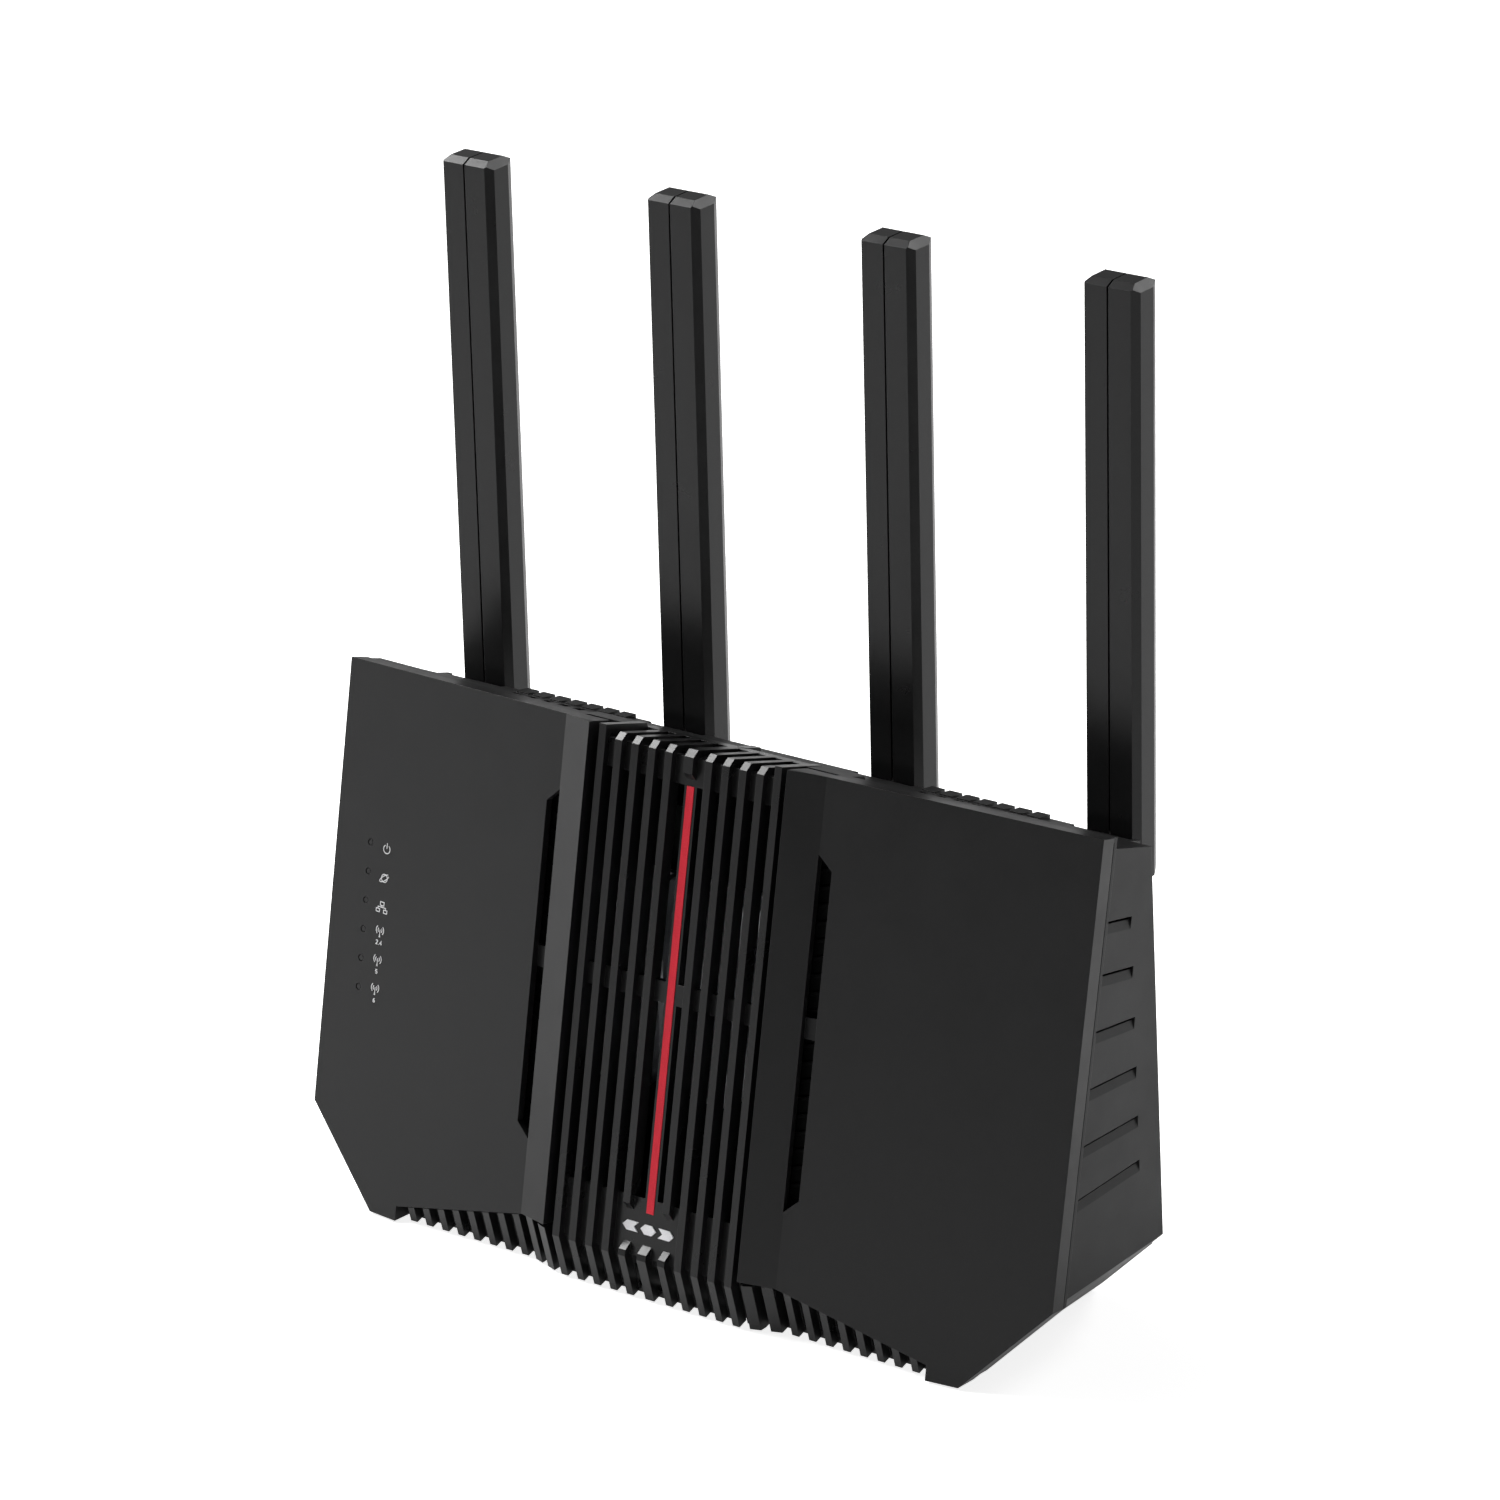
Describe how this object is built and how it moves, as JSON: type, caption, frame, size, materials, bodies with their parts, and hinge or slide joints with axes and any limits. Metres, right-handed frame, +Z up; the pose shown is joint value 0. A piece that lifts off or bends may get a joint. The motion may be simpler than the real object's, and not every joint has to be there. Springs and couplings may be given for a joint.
{
  "type": "wireless router",
  "caption": "Upright wireless router: two swept cover wings beside a ribbed centre column with a red light strip, and fold-back blade antennas behind.",
  "frame": {"origin": "centre of the footprint box, on the surface that the rubber feet stand on", "axes": "+Z up along the antennas, +X to the viewer's right when facing the front, +Y from the front cover to the back panel"},
  "size_m": [0.25, 0.086, 0.2909],
  "materials": {
    "cover_plastic": "fine spark-eroded matte texture",
    "grille_plastic": "fine matte texture",
    "vent_plastic": "moulded black, satin",
    "housing_plastic": "matte texture",
    "panel_plastic": "matte texture",
    "antenna_plastic": "fine matte texture",
    "carrier_plastic": "plain moulded",
    "red_strip": "even diffusing matte",
    "badge_ink": "satin raised badge",
    "light_pipe": "clear diffusing",
    "circuit_board": "dark solder mask",
    "heatsink_alloy": "extruded",
    "shield_steel": "tinned sheet",
    "chip_resin": "moulded resin",
    "lan_yellow": "moulded",
    "wan_blue": "moulded",
    "socket_steel": "stamped",
    "inlet_plastic": "moulded",
    "contact_gold": "gold flash",
    "button_plastic": "satin",
    "reset_plastic": "satin",
    "foot_rubber": "matt",
    "screw_steel": "blackened",
    "label_film": "printed film",
    "lead_jacket": "extruded",
    "hinge_steel": "ground pin"
  },
  "bodies": {
    "body": {"left_cover": "cover_plastic", "right_cover": "cover_plastic", "centre_grille": "grille_plastic", "left_intake": "grille_plastic", "right_intake": "grille_plastic", "left_slot_insert": "vent_plastic", "right_slot_insert": "vent_plastic", "light_strip": "red_strip", "strip_led_board": "circuit_board", "front_badge": "badge_ink", "status_light_pipes": "light_pipe", "status_led_board": "circuit_board", "mid_frame": "vent_plastic", "rear_housing": "housing_plastic", "back_panel": "panel_plastic", "main_board": "circuit_board", "heatsink": "heatsink_alloy", "shield_cans": "shield_steel", "board_chips": "chip_resin", "lan_sockets": "lan_yellow", "wan_socket": "wan_blue", "usb_socket": "socket_steel", "dc_inlet": "inlet_plastic", "socket_contacts": "contact_gold", "button_switches": "shield_steel", "rubber_feet": "foot_rubber", "panel_screws": "screw_steel", "rating_label": "label_film", "antenna_leads": "lead_jacket"},
    "antenna_1": {"antenna_1_left_shell": "antenna_plastic", "antenna_1_right_shell": "antenna_plastic", "antenna_1_core": "carrier_plastic", "antenna_1_pin": "hinge_steel"},
    "antenna_2": {"antenna_2_left_shell": "antenna_plastic", "antenna_2_right_shell": "antenna_plastic", "antenna_2_core": "carrier_plastic", "antenna_2_pin": "hinge_steel"},
    "antenna_3": {"antenna_3_left_shell": "antenna_plastic", "antenna_3_right_shell": "antenna_plastic", "antenna_3_core": "carrier_plastic", "antenna_3_pin": "hinge_steel"},
    "antenna_4": {"antenna_4_left_shell": "antenna_plastic", "antenna_4_right_shell": "antenna_plastic", "antenna_4_core": "carrier_plastic", "antenna_4_pin": "hinge_steel"},
    "power_button": {"power_button": "button_plastic"},
    "pairing_button": {"pairing_button": "button_plastic"},
    "reset_button": {"reset_button": "reset_plastic"}
  },
  "joints": [
    {"name": "antenna_1_fold", "type": "hinge", "parent": "body", "child": "antenna_1", "pos_m": [-0.10485, 0.03711, 0.1304], "axis": [-1, 0, 0], "range_deg": [0, 90]},
    {"name": "antenna_2_fold", "type": "hinge", "parent": "body", "child": "antenna_2", "pos_m": [-0.03495, 0.03711, 0.1304], "axis": [-1, 0, 0], "range_deg": [0, 90]},
    {"name": "antenna_3_fold", "type": "hinge", "parent": "body", "child": "antenna_3", "pos_m": [0.03495, 0.03711, 0.1304], "axis": [-1, 0, 0], "range_deg": [0, 90]},
    {"name": "antenna_4_fold", "type": "hinge", "parent": "body", "child": "antenna_4", "pos_m": [0.10485, 0.03711, 0.1304], "axis": [-1, 0, 0], "range_deg": [0, 90]},
    {"name": "power_button_press", "type": "slide", "parent": "body", "child": "power_button", "axis": [0, -1, 0], "range_m": [0, 0.002], "stiffness_N_per_m": 600},
    {"name": "pairing_button_press", "type": "slide", "parent": "body", "child": "pairing_button", "axis": [0, -1, 0], "range_m": [0, 0.0008], "stiffness_N_per_m": 900},
    {"name": "reset_button_press", "type": "slide", "parent": "body", "child": "reset_button", "axis": [0, -1, 0], "range_m": [0, 0.0008], "stiffness_N_per_m": 700}
  ]
}
